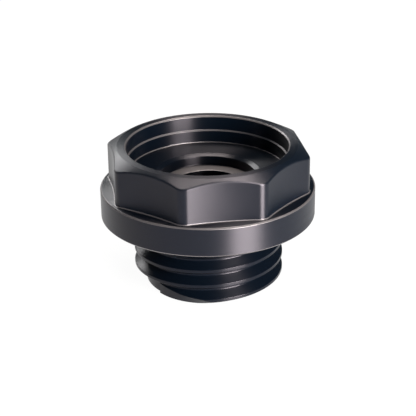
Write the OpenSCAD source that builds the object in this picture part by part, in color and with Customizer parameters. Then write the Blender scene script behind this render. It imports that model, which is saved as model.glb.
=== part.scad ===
// Screw-in oil filler cap, turned and milled from one bar of aluminium,
// with a rubber sealing ring round its neck.
// It stands on the end of its neck: z = 0 there, +Z towards the head, -Y to the front.

/* [Neck and thread] */
// Length of the neck, from its end to the seating face of the flange
neck_len = 19.4; // [17:0.1:24]
// Outside diameter of the thread
thread_d = 42; // [38:0.5:48]
// Rise of the thread in one turn
thread_pitch = 4.5; // [4.2:0.1:5]
// Depth of the thread groove below the crest
thread_depth = 2.7; // [2:0.1:2.9]
// Width of the flat crest of the thread
crest_w = 0.85; // [0.5:0.05:1.1]
// Angle between the two flanks of the thread
flank_angle = 60; // [50:1:62]
// Height of the lowest whole groove above the neck's end, at the front
groove_height = 3.93; // [3.6:0.01:4.4]
// Direction in which the thread starts, from the front towards +X
thread_start = -48; // [-90:1:0]
// Turn over which the first thread gains its full section
start_ramp = 52; // [25:1:60]
// Height of the thread's blunt start above the root of the groove
start_step = 0.1; // [0.05:0.05:0.4]
// Turn over which the neck is cleared to the root, ahead of that start
start_relief = 150; // [60:5:220]
// How much deeper than the groove the neck is cleared at both ends of the thread
relief_depth = 0.6; // [0.2:0.05:0.8]
// Chamfer at the end of the neck
neck_chamfer = 1; // [0.5:0.1:1.2]

/* [Flange] */
// Diameter of the flange
flange_d = 60; // [58:0.5:70]
// Thickness of the flange
flange_t = 8.3; // [6:0.1:12]
// Bevel on the flange's two edges
flange_bevel = 0.35; // [0.1:0.05:0.8]

/* [Head] */
// Height of the head above the flange
head_h = 11.9; // [10.5:0.1:16]
// Number of flats
head_sides = 8; // [8:1:8]
// Width of the flange's ledge beyond the middle of each flat
flange_ledge = 3.8; // [3:0.1:4.2]
// Hollow of each flat, at its middle
flat_hollow = 0.8; // [0.3:0.1:1.2]
// Radius of the rounded corners between the flats
corner_r = 3.2; // [2:0.1:5]
// Direction of one flat, from the front towards +X
head_turn = 8.8; // [-22:0.1:22]
// Least width of the cone, outside the level ring on top
cone_w = 1.2; // [0.7:0.1:1.7]
// Slope of the cone outside that ring
cone_slope = 26; // [15:1:35]

/* [Recess] */
// Width of that level ring, round the mouth of the recess
ring_w = 2.5; // [1.8:0.1:5]
// Bevel round the mouth
mouth_bevel = 0.35; // [0.1:0.05:0.6]
// Depth of the upper wall, down to the small step
upper_wall = 4.2; // [2:0.1:5.5]
// Width of the small step in the wall
wall_step = 0.35; // [0.2:0.05:0.8]
// Depth of the recess at the foot of its wall
recess_depth = 8.1; // [6.5:0.1:9]
// Fall of the floor from its wall to the pocket's rim
floor_fall = 0.8; // [0.2:0.1:1.2]

/* [Pocket] */
// Outside diameter of the sloping rim round the pocket
pocket_rim_d = 31.2; // [28:0.1:34]
// Diameter of the pocket
pocket_d = 26.6; // [22:0.1:27.6]
// Fall of the pocket's rim
pocket_rim_fall = 0.3; // [0.1:0.1:1]
// Depth of the pocket, from its edge to the ledge
pocket_depth = 2.6; // [1.5:0.1:3.5]
// Width of the clean corner between the pocket's wall and its ledge
ledge_corner = 1.1; // [0.5:0.1:2]
// Diameter of the blind hole inside the ledge
hole_d = 17.2; // [12:0.1:19]
// Fall of the ledge towards that hole
ledge_fall = 1.2; // [0.5:0.1:2]
// Depth of the blind hole below the ledge
hole_depth = 5.6; // [3:0.1:7]

/* [Underside] */
// Diameter of the bore in the end of the neck
bore_d = 26; // [18:0.5:27]
// Chamfer at the mouth of that bore
bore_chamfer = 0.8; // [0.3:0.1:1.2]
// Thickness of the web between the blind hole and the bore
web_t = 6; // [4:0.1:8]

/* [Seal] */
// Thickness of the sealing ring's cord
seal_cord_d = 3; // [2.5:0.1:3.2]
// Clearance between the ring and the metal that it seats on
seal_gap = 0.08; // [0.05:0.01:0.15]
// Room below the ring in its groove
seal_room = 0.3; // [0.1:0.1:0.5]

/* [Hidden] */
$fn = 180;

// Black anodised aluminium and black rubber
metal_colour = [0.16, 0.15, 0.16];
rubber_colour = [0.05, 0.05, 0.05];

// How far a cutting shape runs past the surface that it cuts
over = 1;
// How far outside the first thread the starting ramp's cut ends
ramp_exit = 0.25;
// How many degrees before the thread's start that cut begins, inside the cleared turn
ramp_lap = 2;
// How far the thread's cutting shape runs past the crest, short of its own next turn
thread_over = 0.3;

// Diameters that follow from the flange's
across_flats = flange_d - 2 * flange_ledge;
rim_d = across_flats - 2 * cone_w;
mouth_d = rim_d - 2 * ring_w;

// Radii of the neck
crest_r = thread_d / 2;
root_r = crest_r - thread_depth;
relief_r = root_r - relief_depth;
neck_end_r = crest_r - neck_chamfer;

// Levels above the end of the neck
seat_z = neck_len;
flange_top_z = seat_z + flange_t;
top_z = flange_top_z + head_h;
step_z = top_z - upper_wall;
floor_z = top_z - recess_depth;
pocket_rim_z = floor_z - floor_fall;
pocket_z = pocket_rim_z - pocket_rim_fall;
ledge_z = pocket_z - pocket_depth;
hole_z = ledge_z - ledge_fall;
hole_floor_z = hole_z - hole_depth;
bore_top_z = hole_floor_z - web_t;
seal_groove_z = seat_z - seal_cord_d - seal_gap - seal_room;

// Head: each hollow flat is an arc, and each corner is an arc that touches its two flats
side_turn = 360 / head_sides;
mid_r = across_flats / 2;
half_side = (mid_r + flat_hollow) * tan(side_turn / 2);
flat_arc_r = (pow(half_side, 2) + pow(flat_hollow, 2)) / (2 * flat_hollow);
flat_arc_c = mid_r + flat_arc_r;
corner_c = flat_arc_c * cos(side_turn / 2)
    - sqrt(pow(flat_arc_r + corner_r, 2) - pow(flat_arc_c * sin(side_turn / 2), 2));
flat_sweep = atan2(corner_c * sin(side_turn / 2), flat_arc_c - corner_c * cos(side_turn / 2));
corner_sweep = side_turn / 2 + flat_sweep;
flat_steps = 12;
corner_steps = 10;

// Thread: turns are counted in degrees along the helix, with 0 at the front of the lowest whole groove
thread_step = 6;
flank_rise = tan(flank_angle / 2);
groove_mouth_w = thread_pitch - crest_w;
groove_root_w = groove_mouth_w - 2 * thread_depth * flank_rise;
first_turn = -360 * (groove_height + groove_mouth_w / 2 + thread_over) / thread_pitch;
last_turn = 360 * (seat_z - groove_mouth_w / 2 - thread_over - groove_height) / thread_pitch;

// Unit vector at an angle counted from the front, -Y, towards +X
function compass(a) = [sin(a), -cos(a)];

// Point of the cylinder of radius r in that direction, at height z
function on_neck(r, a, z) = [r * sin(a), -r * cos(a), z];

// Height of the middle of the groove at an angle along the helix
function groove_z(a) = groove_height + thread_pitch * a / 360;

// The head's outline, flat by flat and corner by corner
function head_outline() = [
    for (side = [0:head_sides - 1])
        let (a = head_turn + side * side_turn)
        each concat(
            [for (i = [0:flat_steps])
                let (b = flat_sweep * (2 * i / flat_steps - 1))
                flat_arc_c * compass(a) - flat_arc_r * compass(a - b)],
            [for (i = [1:corner_steps - 1])
                let (b = corner_sweep * (2 * i / corner_steps - 1))
                corner_c * compass(a + side_turn / 2) + corner_r * compass(a + side_turn / 2 + b)]
        )
];

// Solid through a row of like sections, each a closed loop of points
module through_sections(sections) {
    n = len(sections[0]);
    last = (len(sections) - 1) * n;
    sides = [
        for (i = [0:len(sections) - 2])
            for (j = [0:n - 1])
                let (a = i * n + j, b = i * n + (j + 1) % n)
                each [[a, b, b + n], [a, b + n, a + n]]
    ];
    near_cap = [for (j = [1:n - 2]) [0, j + 1, j]];
    far_cap = [for (j = [1:n - 2]) [last, last + j, last + j + 1]];
    polyhedron([for (s = sections) each s], concat(sides, near_cap, far_cap));
}

// Angles along the helix from one end to the other in about equal steps
function turns(from, to) =
    let (n = ceil((to - from) / thread_step))
    [for (i = [0:n]) from + (to - from) * i / n];

// The groove between the threads, as a shape to cut
module thread_groove() {
    mouth_half = groove_mouth_w / 2 + flank_rise * thread_over;
    root_half = groove_root_w / 2;
    through_sections([
        for (a = turns(first_turn, last_turn))
            let (z = groove_z(a))
            [
                on_neck(root_r, a, z - root_half),
                on_neck(crest_r + thread_over, a, z - mouth_half),
                on_neck(crest_r + thread_over, a, z + mouth_half),
                on_neck(root_r, a, z + root_half)
            ]
    ]);
}

// The incomplete thread below the lowest groove, cleared to the root ahead of the blunt start
module start_relief_cut() {
    through_sections([
        for (a = turns(thread_start - start_relief, thread_start))
            [
                on_neck(relief_r, a, -over),
                on_neck(crest_r + over, a, -over),
                on_neck(crest_r + over, a, groove_z(a)),
                on_neck(relief_r, a, groove_z(a))
            ]
    ]);
}

// The ramp over which the first thread rises from the root, beyond its blunt start
module start_ramp_cut() {
    start_r = root_r + start_step;
    through_sections([
        for (a = turns(thread_start - ramp_lap, thread_start + start_ramp))
            let (
                t = max(0, (a - thread_start) / start_ramp),
                crest_z = groove_z(a) - thread_pitch + groove_mouth_w / 2,
                full_foot_r = crest_r - crest_z / flank_rise,
                foot_r = start_r + (full_foot_r + ramp_exit - start_r) * t,
                brow_r = start_r + (crest_r + ramp_exit - start_r) * t,
                brow_z = groove_z(a) + (crest_z - groove_z(a)) * t
            )
            [
                on_neck(brow_r, a, brow_z),
                on_neck(foot_r - (brow_r - foot_r) * over / brow_z, a, -over),
                on_neck(crest_r + over, a, -over),
                on_neck(crest_r + over, a, groove_z(a))
            ]
    ]);
}

// Neck and flange as turned, before the thread is cut
module turned_blank() {
    rotate_extrude()
        polygon([
            [0, 0],
            [neck_end_r, 0],
            [crest_r, neck_chamfer],
            [crest_r, seal_groove_z - thread_depth / 2],
            [relief_r, seal_groove_z],
            [relief_r, seat_z],
            [flange_d / 2 - flange_bevel, seat_z],
            [flange_d / 2, seat_z + flange_bevel],
            [flange_d / 2, flange_top_z - flange_bevel],
            [flange_d / 2 - flange_bevel, flange_top_z],
            [0, flange_top_z]
        ]);
}

// Head with hollow flats, topped by a level ring and a cone
module head() {
    outer_r = flange_d / 2;
    rim_r = rim_d / 2;
    intersection() {
        translate([0, 0, flange_top_z - over])
            linear_extrude(height = head_h + over)
                polygon(head_outline());
        rotate_extrude()
            polygon([
                [0, flange_top_z - over],
                [outer_r, flange_top_z - over],
                [outer_r, top_z - (outer_r - rim_r) * tan(cone_slope)],
                [rim_r, top_z],
                [0, top_z]
            ]);
    }
}

// The recess, the pocket in its floor and the blind hole, as one turned shape to cut
module recess_cut() {
    mouth_r = mouth_d / 2;
    foot_r = mouth_r - wall_step;
    pocket_r = pocket_d / 2;
    hole_r = hole_d / 2;
    rotate_extrude()
        polygon([
            [0, hole_floor_z],
            [hole_r, hole_floor_z],
            [hole_r, hole_z],
            [pocket_r - ledge_corner, ledge_z],
            [pocket_r, ledge_z + ledge_corner / 2],
            [pocket_r, pocket_z],
            [pocket_rim_d / 2, pocket_rim_z],
            [foot_r, floor_z],
            [foot_r, step_z - wall_step],
            [mouth_r, step_z],
            [mouth_r, top_z - mouth_bevel],
            [mouth_r + mouth_bevel + over, top_z + over],
            [0, top_z + over]
        ]);
}

// The bore in the end of the neck
module bore_cut() {
    bore_r = bore_d / 2;
    rotate_extrude()
        polygon([
            [0, -over],
            [bore_r + bore_chamfer + over, -over],
            [bore_r, bore_chamfer],
            [bore_r, bore_top_z],
            [0, bore_top_z]
        ]);
}

module cap_body() {
    color(metal_colour)
        difference() {
            union() {
                turned_blank();
                head();
            }
            recess_cut();
            bore_cut();
            thread_groove();
            start_relief_cut();
            start_ramp_cut();
        }
}

module seal_ring() {
    cord_r = seal_cord_d / 2;
    color(rubber_colour)
        translate([0, 0, seat_z - seal_gap - cord_r])
            rotate_extrude()
                translate([relief_r + seal_gap + cord_r, 0])
                    circle(r = cord_r);
}

cap_body();
seal_ring();
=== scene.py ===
"""Looks of the oil filler cap: one anodised aluminium body with its sealing ring, on a pale floor."""

import math

import bmesh
import bpy
from mathutils import Matrix, Vector


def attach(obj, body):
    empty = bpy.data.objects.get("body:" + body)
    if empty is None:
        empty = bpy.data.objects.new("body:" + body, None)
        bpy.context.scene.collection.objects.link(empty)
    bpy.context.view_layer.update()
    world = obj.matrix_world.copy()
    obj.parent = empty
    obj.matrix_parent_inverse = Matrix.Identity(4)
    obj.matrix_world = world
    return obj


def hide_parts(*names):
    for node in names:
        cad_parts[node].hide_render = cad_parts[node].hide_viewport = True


MM = 0.001
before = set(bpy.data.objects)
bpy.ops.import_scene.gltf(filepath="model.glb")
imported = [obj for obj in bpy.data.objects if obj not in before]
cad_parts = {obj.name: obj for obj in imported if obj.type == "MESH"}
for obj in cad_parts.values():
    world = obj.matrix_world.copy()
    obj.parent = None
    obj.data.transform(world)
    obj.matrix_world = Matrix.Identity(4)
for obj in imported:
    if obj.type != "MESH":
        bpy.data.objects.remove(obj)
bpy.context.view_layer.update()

# sizes in millimetres
THREAD_D, PITCH, THREAD_DEPTH, CREST_W = 42.0, 4.5, 2.7, 0.85
GROOVE_HEIGHT, THREAD_START, START_RAMP, START_STEP, START_RELIEF = 3.93, -48.0, 52.0, 0.1, 150.0
RELIEF_DEPTH, NECK_CHAMFER, NECK_LEN = 0.6, 1.0, 19.4
FLANGE_D, FLANGE_T, FLANGE_BEVEL = 60.0, 8.3, 0.35
HEAD_H, ACROSS_FLATS, FLAT_HOLLOW, CORNER_R, HEAD_TURN = 11.9, 52.4, 0.8, 3.2, 8.8
RIM_D, CONE_SLOPE = 50.0, 26.0
MOUTH_D, MOUTH_BEVEL, UPPER_WALL, WALL_STEP, RECESS_DEPTH, FLOOR_FALL = 45.0, 0.35, 4.2, 0.35, 8.1, 0.4
POCKET_RIM_D, POCKET_D, POCKET_RIM_FALL, POCKET_DEPTH, LEDGE_CORNER = 29.6, 26.6, 0.5, 2.6, 0.3
HOLE_D, LEDGE_FALL, HOLE_DEPTH = 18.8, 0.1, 7.0
BORE_D, BORE_CHAMFER, WEB_T = 26.0, 0.8, 6.0
CORD_D, CORD_GAP, CORD_ROOM = 3.0, 0.08, 0.3

CREST_R = THREAD_D / 2
ROOT_R = CREST_R - THREAD_DEPTH
RELIEF_R = ROOT_R - RELIEF_DEPTH
SEAT_Z = NECK_LEN
FLANGE_Z = SEAT_Z + FLANGE_T
TOP_Z = FLANGE_Z + HEAD_H
STEP_Z = TOP_Z - UPPER_WALL
FLOOR_Z = TOP_Z - RECESS_DEPTH
POCKET_RIM_Z = FLOOR_Z - FLOOR_FALL
POCKET_Z = POCKET_RIM_Z - POCKET_RIM_FALL
LEDGE_Z = POCKET_Z - POCKET_DEPTH
HOLE_Z = LEDGE_Z - LEDGE_FALL
HOLE_FLOOR_Z = HOLE_Z - HOLE_DEPTH
BORE_TOP_Z = HOLE_FLOOR_Z - WEB_T
CORD_ROOM_Z = SEAT_Z - CORD_D - CORD_GAP - CORD_ROOM
FLANK_RISE = math.tan(math.radians(30))
MOUTH_W = PITCH - CREST_W
RAMP_LAP = 2.0
TURN_STEPS = 720
HELIX_STEP = 3
FULL_TURN = 2 * math.pi
# place of each finish in the body's list of materials
TURNED, MILLED, EDGE, THREAD, RECESS = range(5)


def compass(turn, r, z):
    """Point at that many degrees from the front towards +X."""
    a = math.radians(turn)
    return Vector((r * math.sin(a), -r * math.cos(a), z))


def groove_z(turn):
    """Height of the middle of the groove in that direction."""
    return GROOVE_HEIGHT + PITCH * turn / 360


def rounded(corners):
    """Points of a line with its corners rounded. Each corner is (r, z, radius, steps)."""
    out = []
    for i, (x, y, radius, steps) in enumerate(corners):
        here = Vector((x, y))
        if radius <= 0 or i in (0, len(corners) - 1):
            out.append(tuple(here))
            continue
        before = Vector(corners[i - 1][:2]) - here
        after = Vector(corners[i + 1][:2]) - here
        half = before.angle(after) / 2
        reach = min(radius / math.tan(half), before.length * 0.48, after.length * 0.48)
        radius = reach * math.tan(half)
        middle = (before.normalized() + after.normalized()).normalized() * (radius / math.sin(half))
        start = before.normalized() * reach - middle
        end = after.normalized() * reach - middle
        for k in range(steps + 1):
            t = k / steps
            sweep = start.angle(end)
            spoke = start * math.sin((1 - t) * sweep) + end * math.sin(t * sweep)
            out.append(tuple(here + middle + spoke.normalized() * radius))
    return out


# outline of the head
SIDE_TURN = 45.0
MID_R = ACROSS_FLATS / 2
HALF = math.radians(SIDE_TURN / 2)
HALF_SIDE = (MID_R + FLAT_HOLLOW) * math.tan(HALF)
FLAT_ARC_R = (HALF_SIDE**2 + FLAT_HOLLOW**2) / (2 * FLAT_HOLLOW)
FLAT_ARC_C = MID_R + FLAT_ARC_R
CORNER_C = FLAT_ARC_C * math.cos(HALF) - math.sqrt(
    (FLAT_ARC_R + CORNER_R) ** 2 - (FLAT_ARC_C * math.sin(HALF)) ** 2
)
FLAT_SWEEP = math.atan2(CORNER_C * math.sin(HALF), FLAT_ARC_C - CORNER_C * math.cos(HALF))
CORNER_SWEEP = HALF + FLAT_SWEEP
CORNER_REACH = math.atan2(
    CORNER_R * math.sin(CORNER_SWEEP), CORNER_C + CORNER_R * math.cos(CORNER_SWEEP)
)


def head_radius(turn):
    """Distance from the axis to the head's wall in that direction."""
    off = (turn - HEAD_TURN + SIDE_TURN / 2) % SIDE_TURN - SIDE_TURN / 2
    a = math.radians(abs(off))
    if HALF - a > CORNER_REACH:
        side = FLAT_ARC_C * math.sin(a)
        return FLAT_ARC_C * math.cos(a) - math.sqrt(FLAT_ARC_R**2 - side**2)
    b = HALF - a
    return CORNER_C * math.cos(b) + math.sqrt(CORNER_R**2 - (CORNER_C * math.sin(b)) ** 2)


def body_profile(wall_r):
    """The turned line of the body, from the middle of the recess to the middle of the bore.

    wall_r is the radius of the head's wall in one direction.
    """
    cone = math.tan(math.radians(CONE_SLOPE))
    mouth_r, foot_r, rim_r = MOUTH_D / 2, MOUTH_D / 2 - WALL_STEP, RIM_D / 2
    flange_r, bore_r = FLANGE_D / 2, BORE_D / 2
    return rounded(
        [
            (0, HOLE_FLOOR_Z, 0, 0),
            (HOLE_D / 2, HOLE_FLOOR_Z, 0.4, 3),
            (HOLE_D / 2, HOLE_Z, 0.2, 3),
            (POCKET_D / 2 - LEDGE_CORNER, LEDGE_Z, 0.3, 3),
            (POCKET_D / 2, LEDGE_Z + LEDGE_CORNER / 2, 0.2, 3),
            (POCKET_D / 2, POCKET_Z, 0.25, 3),
            (POCKET_RIM_D / 2, POCKET_RIM_Z, 0.3, 2),
            (foot_r, FLOOR_Z, 0.25, 3),
            (foot_r, STEP_Z - WALL_STEP, 0.06, 2),
            (mouth_r, STEP_Z, 0.06, 2),
            (mouth_r, TOP_Z - MOUTH_BEVEL, 0.12, 3),
            (mouth_r + MOUTH_BEVEL, TOP_Z, 0.12, 3),
            (rim_r, TOP_Z, 0.2, 3),
            (wall_r, TOP_Z - (wall_r - rim_r) * cone, 0.7, 6),
            (wall_r, FLANGE_Z, 0.35, 4),
            (flange_r - FLANGE_BEVEL, FLANGE_Z, 0.12, 3),
            (flange_r, FLANGE_Z - FLANGE_BEVEL, 0.12, 3),
            (flange_r, SEAT_Z + FLANGE_BEVEL, 0.12, 3),
            (flange_r - FLANGE_BEVEL, SEAT_Z, 0.12, 3),
            (RELIEF_R, SEAT_Z, 0.25, 3),
            (RELIEF_R, CORD_ROOM_Z, 0.25, 3),
            (CREST_R, CORD_ROOM_Z - THREAD_DEPTH / 2, 0.12, 2),
            (CREST_R, NECK_CHAMFER, 0.12, 2),
            (CREST_R - NECK_CHAMFER, 0, 0.12, 2),
            (bore_r + BORE_CHAMFER, 0, 0.12, 2),
            (bore_r, BORE_CHAMFER, 0.12, 2),
            (bore_r, BORE_TOP_Z, 0.4, 3),
            (0, BORE_TOP_Z, 0, 0),
        ]
    )


def chain(bm, points, layer=None, closed=False):
    """Adds a line of points with the number of each kept in the layer, and returns its geometry."""
    verts = [bm.verts.new(p) for p in points]
    if layer:
        for i, v in enumerate(verts):
            v[layer] = i
    ends = verts[1:] + verts[:1] if closed else verts[1:]
    return verts + [bm.edges.new(pair) for pair in zip(verts, ends)]


def turn_of(v):
    """Direction of a vertex, in degrees from the front towards +X."""
    return math.degrees(math.atan2(v.co.x, -v.co.y))


def finish_mesh(bm, name, sharp=30.0):
    """Makes an object at the origin from a bmesh in millimetres, smooth up to the sharp angle."""
    bmesh.ops.transform(bm, matrix=Matrix.Scale(MM, 4), verts=bm.verts)
    bmesh.ops.recalc_face_normals(bm, faces=bm.faces)
    limit = math.radians(sharp)
    for f in bm.faces:
        f.smooth = True
    for e in bm.edges:
        e.smooth = len(e.link_faces) == 2 and e.calc_face_angle(0) < limit
    mesh = bpy.data.meshes.new(name)
    bm.to_mesh(mesh)
    bm.free()
    thing = bpy.data.objects.new(name, mesh)
    bpy.context.scene.collection.objects.link(thing)
    return thing


def on_edge(r, z):
    """True on the small bevels, in the corners of the recess and at the head's foot.

    The last band takes in the ledge round the blind hole, which lies at the same height.
    """
    near = FLANGE_BEVEL + 0.06
    flange = r > FLANGE_D / 2 - near and (z > FLANGE_Z - near or SEAT_Z + near > z > SEAT_Z - 0.01)
    mouth_r, foot_r = MOUTH_D / 2, MOUTH_D / 2 - WALL_STEP
    mouth = z > TOP_Z - MOUTH_BEVEL - 0.05 and mouth_r - 0.01 < r < mouth_r + MOUTH_BEVEL + 0.05
    step = foot_r - 0.08 < r < mouth_r + 0.08 and abs(z - STEP_Z + WALL_STEP / 2) < 0.3
    foot = foot_r - 0.22 < r < mouth_r and abs(z - FLOOR_Z) < 0.22
    base = r < FLANGE_D / 2 - 1 and FLANGE_Z + 0.01 < z < FLANGE_Z + 0.28
    return flange or mouth or step or foot or base


def turned_body():
    """The whole body before its thread is cut: every row of the spun line follows the head's outline."""
    bm = bmesh.new()
    row = bm.verts.layers.int.new("row")
    start = [Vector((0, -r, z)) for r, z in body_profile(MID_R)]
    bmesh.ops.spin(
        bm,
        geom=chain(bm, start, row),
        axis=(0, 0, 1),
        cent=(0, 0, 0),
        angle=FULL_TURN,
        steps=TURN_STEPS,
        use_merge=True,
    )
    lines = {}
    for v in bm.verts:
        turn = round(turn_of(v) * 2) / 2
        if turn not in lines:
            lines[turn] = body_profile(head_radius(turn))
        r, z = lines[turn][v[row]]
        v.co = compass(turn, r, z)
    bmesh.ops.remove_doubles(bm, verts=bm.verts, dist=1e-5)
    bmesh.ops.recalc_face_normals(bm, faces=bm.faces)
    for f in bm.faces:
        middle = f.calc_center_median()
        far = math.hypot(middle.x, middle.y)
        head_wall = FLANGE_Z + 0.36 < middle.z < TOP_Z - 0.3 and far > MOUTH_D / 2 + 1
        f.material_index = MILLED if head_wall else TURNED
        # the small bevels and fillets take the lighter edge finish, a painted highlight along the edges
        if on_edge(far, middle.z):
            f.material_index = EDGE
    return finish_mesh(bm, "cap")


def groove_cutter():
    """The groove between the threads, with rounded crests and root, swept along the helix."""
    first = -360 * (GROOVE_HEIGHT + MOUTH_W / 2 + 0.3) / PITCH
    last = 360 * (SEAT_Z - MOUTH_W / 2 - 0.3 - GROOVE_HEIGHT) / PITCH
    steps = math.ceil((last - first) / HELIX_STEP)
    turn = (last - first) / steps
    root_half = MOUTH_W / 2 - THREAD_DEPTH * FLANK_RISE
    ease = 0.16
    upper = rounded(
        [
            (ROOT_R, 0, 0, 0),
            (ROOT_R, root_half, 0.5, 5),
            (CREST_R, MOUTH_W / 2, ease, 4),
            (CREST_R, MOUTH_W / 2 + ease, 0, 0),
        ]
    )
    top_r, top_half = CREST_R + 0.25, upper[-1][1] + 0.02
    half = upper[1:-1] + [(top_r, top_half)]
    section = half + [(r, -z) for r, z in reversed(half)]
    bm = bmesh.new()
    points = [compass(first, r, groove_z(first) + z) for r, z in section]
    bmesh.ops.spin(
        bm,
        geom=chain(bm, points, closed=True),
        axis=(0, 0, 1),
        cent=(0, 0, 0),
        dvec=(0, 0, PITCH * turn / 360),
        angle=math.radians(last - first),
        steps=steps,
    )
    bmesh.ops.holes_fill(bm, edges=bm.edges)
    return finish_mesh(bm, "groove_cutter")


def swept_cutter(name, first, last, section):
    """A shape to cut whose section at each direction is given by section(turn)."""
    bm = bmesh.new()
    row = bm.verts.layers.int.new("row")
    points = [compass(first, r, z) for r, z in section(first)]
    bmesh.ops.spin(
        bm,
        geom=chain(bm, points, row, closed=True),
        axis=(0, 0, 1),
        cent=(0, 0, 0),
        angle=math.radians(last - first),
        steps=math.ceil((last - first) / 2),
    )
    for v in bm.verts:
        turn = turn_of(v)
        turn = min(max(turn if turn < last + 1 else turn - 360, first), last)
        r, z = section(turn)[v[row]]
        v.co = compass(turn, r, z)
    bmesh.ops.holes_fill(bm, edges=bm.edges)
    return finish_mesh(bm, name)


def relief_section(turn):
    """The first turn of the groove's floor lies lower ahead of the thread's start."""
    top = groove_z(turn)
    return [(RELIEF_R, -1), (CREST_R + 1, -1), (CREST_R + 1, top), (RELIEF_R, top)]


def ramp_section(turn):
    """The thread rises from the groove's floor to its full height behind its start."""
    t = max(0, (turn - THREAD_START) / START_RAMP)
    begin = ROOT_R + START_STEP
    crest_z = groove_z(turn) - PITCH + MOUTH_W / 2
    foot = begin + (CREST_R - crest_z / FLANK_RISE + 0.25 - begin) * t
    brow = begin + (CREST_R + 0.25 - begin) * t
    brow_z = groove_z(turn) + (crest_z - groove_z(turn)) * t
    return [
        (brow, brow_z),
        (foot - (brow - foot) / brow_z, -1),
        (CREST_R + 1, -1),
        (CREST_R + 1, groove_z(turn)),
    ]


def cut(thing, cutters):
    """Cuts the shapes out of the thing and removes them."""
    for cutter in cutters:
        step = thing.modifiers.new("cut", "BOOLEAN")
        step.operation = "DIFFERENCE"
        step.solver = "EXACT"
        step.object = cutter
    seen = thing.evaluated_get(bpy.context.evaluated_depsgraph_get())
    bm = bmesh.new()
    bm.from_mesh(seen.to_mesh())
    seen.to_mesh_clear()
    name = thing.name
    for old in [thing, *cutters]:
        bpy.data.objects.remove(old)
    bmesh.ops.transform(bm, matrix=Matrix.Scale(1 / MM, 4), verts=bm.verts)
    bmesh.ops.remove_doubles(bm, verts=bm.verts, dist=2e-4)
    return finish_mesh(bm, name)


def paint_neck_and_recess_shade(thing):
    """Gives the neck and the recess the smoother finish of their own cutting tools, with a lower
    reflectance that paints the shade under the flange and inside the recess.
    """
    for f in thing.data.polygons:
        far, z = math.hypot(f.center.x, f.center.y) / MM, f.center.z / MM
        if f.material_index != TURNED:
            continue
        if z < SEAT_Z - 0.02:
            f.material_index = THREAD
        elif far < MOUTH_D / 2 + 0.02:
            f.material_index = RECESS


def even_shading(thing):
    """Lets the large faces set the shading, so that small rounded edges stay small."""
    step = thing.modifiers.new("shading", "WEIGHTED_NORMAL")
    step.keep_sharp = True
    step.weight = 50
    seen = thing.evaluated_get(bpy.context.evaluated_depsgraph_get())
    shaded = bpy.data.meshes.new_from_object(seen)
    thing.modifiers.clear()
    thing.data = shaded


def sealing_ring():
    """The rubber ring in the undercut below the flange, a hair thinner than its solid."""
    bm = bmesh.new()
    r = CORD_D / 2 - 0.01
    middle = Vector((0, -(RELIEF_R + CORD_GAP + CORD_D / 2), SEAT_Z - CORD_GAP - CORD_D / 2))
    sides = 24
    around = [FULL_TURN * k / sides for k in range(sides)]
    loop = [middle + Vector((0, r * math.cos(a), r * math.sin(a))) for a in around]
    bmesh.ops.spin(
        bm,
        geom=chain(bm, loop, closed=True),
        axis=(0, 0, 1),
        cent=(0, 0, 0),
        angle=FULL_TURN,
        steps=180,
        use_merge=True,
    )
    bmesh.ops.remove_doubles(bm, verts=bm.verts, dist=1e-5)
    return finish_mesh(bm, "ring", sharp=60)


# materials
class Field:
    """A shader value that is worked out at each point of a surface."""

    def __init__(self, tree, socket):
        self.tree, self.socket = tree, socket

    def node(self, kind, inputs, output=0, **settings):
        """Any other node fed by sockets or numbers; returns one of its outputs."""
        n = self.tree.nodes.new(kind)
        for key, value in settings.items():
            setattr(n, key, value)
        for key, value in inputs.items():
            if isinstance(value, Field):
                self.tree.links.new(value.socket, n.inputs[key])
            else:
                n.inputs[key].default_value = value
        return Field(self.tree, n.outputs[output])

    def math(self, operation, *others):
        inputs = dict(enumerate((self, *others)))
        return self.node("ShaderNodeMath", inputs, operation=operation)

    def __add__(self, other):
        return self.math("ADD", other)

    def __mul__(self, other):
        return self.math("MULTIPLY", other)

    def __truediv__(self, other):
        return self.math("DIVIDE", other)

    def __rtruediv__(self, other):
        return self.math("POWER", -1.0) * other

    __radd__, __rmul__ = __add__, __mul__


def new_material(name):
    mat = bpy.data.materials.new(name)
    mat.use_nodes = True
    shader = mat.node_tree.nodes["Principled BSDF"]
    place = mat.node_tree.nodes.new("ShaderNodeTexCoord")
    return mat, shader, Field(mat.node_tree, place.outputs["Object"])


def axes(point):
    return [point.node("ShaderNodeSeparateXYZ", {0: point}, output=k) for k in range(3)]


def feed(shader, name, field):
    field.tree.links.new(field.socket, shader.inputs[name])


def noise(point, scale, detail=2.0, roughness=0.5):
    inputs = {"Vector": point, "Scale": scale, "Detail": detail, "Roughness": roughness}
    return point.node("ShaderNodeTexNoise", inputs)


def marks(point, x, y, across, wave, length):
    """Fine tool marks: wave is their width and length their length round the axis, in metres."""
    turn = x.math("ARCTAN2", y)
    round_scale = 0.02 / length
    stretched = point.node(
        "ShaderNodeCombineXYZ",
        {0: turn.math("COSINE") * round_scale, 1: turn.math("SINE") * round_scale, 2: across / wave},
    )
    return noise(stretched, 1.0, 3.0, 0.6)


ANODISED = (0.0010, 0.0022, 0.0044, 1)
SHEEN_TINT = (1.0, 0.9, 1.0, 1)


def brushed(shader, ior):
    """What the turned and the milled finish share: a black coat that blurs light across its marks."""
    shader.inputs["Base Color"].default_value = ANODISED
    shader.inputs["IOR"].default_value = ior
    shader.inputs["Specular Tint"].default_value = SHEEN_TINT
    shader.inputs["Anisotropic"].default_value = 0.85
    shader.inputs["Anisotropic Rotation"].default_value = 0.25


def tool_marks(shader, height, strength):
    """Bumps of a few hundredths of a millimetre."""
    bump = height.node(
        "ShaderNodeBump", {"Strength": strength, "Distance": 0.00003, "Height": height}
    )
    feed(shader, "Normal", bump)


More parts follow.
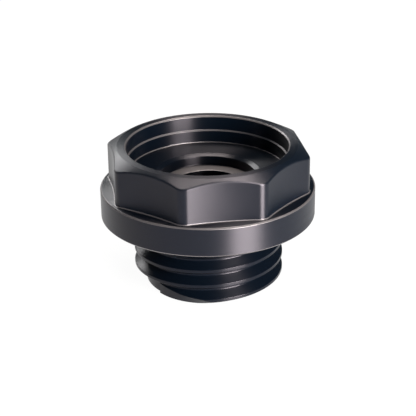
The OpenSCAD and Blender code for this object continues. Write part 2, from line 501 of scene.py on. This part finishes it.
def turned_metal(name, ior, roughness):
    """Black anodised aluminium with the fine rings of turning."""
    mat, shader, point = new_material(name)
    x, y, z = axes(point)
    across = (x * x + y * y).math("SQRT") + z
    rings = marks(point, x, y, across, 0.00012, 0.01)
    broad = marks(point, x, y, across, 0.0012, 0.03)
    cloud = noise(point, 120.0, 3.0)
    brushed(shader, ior)
    feed(shader, "Roughness", roughness + broad * 0.1 + cloud * 0.04)
    tool_marks(shader, rings, 0.25)
    return mat


def milled_metal():
    """The same finish on the head's milled flats."""
    mat, shader, point = new_material("milled_anodised")
    drawn_out = point.node(
        "ShaderNodeVectorMath", {0: point, 1: (1.0, 1.0, 0.05)}, operation="MULTIPLY"
    )
    brushed(shader, 1.45)
    feed(shader, "Roughness", 0.36 + noise(point, 150.0, 3.0) * 0.08)
    tool_marks(shader, noise(drawn_out, 9000.0), 0.2)
    return mat


def edge_highlight_metal():
    """The small bevels and corner fillets in a lighter, more reflective finish: a painted highlight for
    the bright lines along the edges.
    """
    mat, shader, point = new_material("edge_painted_highlight")
    shader.inputs["Base Color"].default_value = (0.16, 0.145, 0.15, 1)
    shader.inputs["Metallic"].default_value = 0.8
    feed(shader, "Roughness", 0.32 + noise(point, 150.0) * 0.1)
    return mat


def rubber():
    """Black moulded rubber with a dull, slightly uneven skin."""
    mat, shader, point = new_material("rubber")
    shader.inputs["Base Color"].default_value = (0.012, 0.012, 0.012, 1)
    feed(shader, "Roughness", 0.5 + noise(point, 900.0) * 0.15)
    return mat


def floor_paint():
    """Plain pale floor that reads white to the camera and in the metal, and keeps the shadow."""
    mat, shader, _ = new_material("floor")
    shader.inputs["Base Color"].default_value = (0.85, 0.85, 0.85, 1)
    shader.inputs["Roughness"].default_value = 0.9
    tree = mat.node_tree
    path = tree.nodes.new("ShaderNodeLightPath")
    seen = Field(tree, path.outputs["Is Camera Ray"])
    for kind in ["Is Glossy Ray", "Is Transmission Ray"]:
        seen = seen.math("MAXIMUM", Field(tree, path.outputs[kind]))
    white = tree.nodes.new("ShaderNodeEmission")
    blend = tree.nodes.new("ShaderNodeMixShader")
    tree.links.new((seen * 0.95).socket, blend.inputs[0])
    tree.links.new(shader.outputs[0], blend.inputs[1])
    tree.links.new(white.outputs[0], blend.inputs[2])
    tree.links.new(blend.outputs[0], tree.nodes["Material Output"].inputs[0])
    return mat


# pieces
metal = [
    turned_metal("turned_anodised", 1.46, 0.34),
    milled_metal(),
    edge_highlight_metal(),
    # the thread and recess copies are smoother, and their lower IOR darkens them: painted shade under
    # the flange and inside the recess
    turned_metal("thread_anodised_painted_shade", 1.34, 0.26),
    turned_metal("recess_anodised_painted_shade", 1.38, 0.25),
]
body = turned_body()
cutters = [
    groove_cutter(),
    swept_cutter("relief_cutter", THREAD_START - START_RELIEF, THREAD_START, relief_section),
    swept_cutter("ramp_cutter", THREAD_START - RAMP_LAP, THREAD_START + START_RAMP, ramp_section),
]
for thing in [body, *cutters]:
    for mat in metal:
        thing.data.materials.append(mat)
body = cut(body, cutters)
for mat in metal:
    body.data.materials.append(mat)
paint_neck_and_recess_shade(body)
even_shading(body)
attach(body, "root")
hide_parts("cap_body")

ring = sealing_ring()
ring.data.materials.append(rubber())
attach(ring, "root")
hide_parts("seal_ring")

# stage
bm = bmesh.new()
bmesh.ops.create_grid(bm, x_segments=1, y_segments=1, size=3000)
floor = finish_mesh(bm, "floor")
floor.data.materials.append(floor_paint())

world = bpy.data.worlds.new("studio")
bpy.context.scene.world = world
world.use_nodes = True
world.node_tree.nodes["Background"].inputs[0].default_value = (0.03, 0.045, 0.06, 1)


def softbox(name, turn, height, distance, width, tall, power, tint=(1, 1, 1), aim=(0, 0, 0.02)):
    """A soft lamp in that direction, counted from the front towards +X, and that many degrees up."""
    data = bpy.data.lights.new(name, "AREA")
    data.shape = "RECTANGLE"
    data.size, data.size_y, data.energy, data.color = width, tall, power, tint
    lamp = bpy.data.objects.new(name, data)
    up = math.radians(height)
    away = compass(turn, math.cos(up), math.sin(up)) * distance
    lamp.location = away + Vector(aim)
    lamp.rotation_euler = (-away).to_track_quat("-Z", "Y").to_euler()
    bpy.context.scene.collection.objects.link(lamp)
    return lamp


softbox("overhead", 158, 75, 0.9, 0.7, 0.28, 11.5, (1.0, 0.95, 0.87))
softbox("key", 37, 12, 0.45, 0.22, 0.2, 10.0, (1.0, 0.98, 0.94))
softbox("left_rear", -150, 28, 0.7, 0.4, 0.25, 2.2, (0.98, 1.0, 0.98))

# camera
ELEVATION, DISTANCE, FOCAL_PX, AIM_Z, ROLL = 23.997, 0.375, 1330.9, 20.23, 0.723
IMAGE_WIDTH, SENSOR_WIDTH = 416, 36.0
lens = bpy.data.cameras.new("camera")
lens.sensor_width = SENSOR_WIDTH
lens.lens = FOCAL_PX * SENSOR_WIDTH / IMAGE_WIDTH
lens.clip_start = 0.01
eye = bpy.data.objects.new("camera", lens)
up = math.radians(ELEVATION)
eye.location = (0, -DISTANCE * math.cos(up), AIM_Z * MM + DISTANCE * math.sin(up))
tip = Matrix.Rotation(math.radians(90 - ELEVATION), 4, "X")
lean = Matrix.Rotation(math.radians(-ROLL), 4, "Z")
eye.rotation_euler = (tip @ lean).to_euler()
bpy.context.scene.collection.objects.link(eye)
bpy.context.scene.camera = eye
bpy.context.scene.view_settings.view_transform = "Standard"
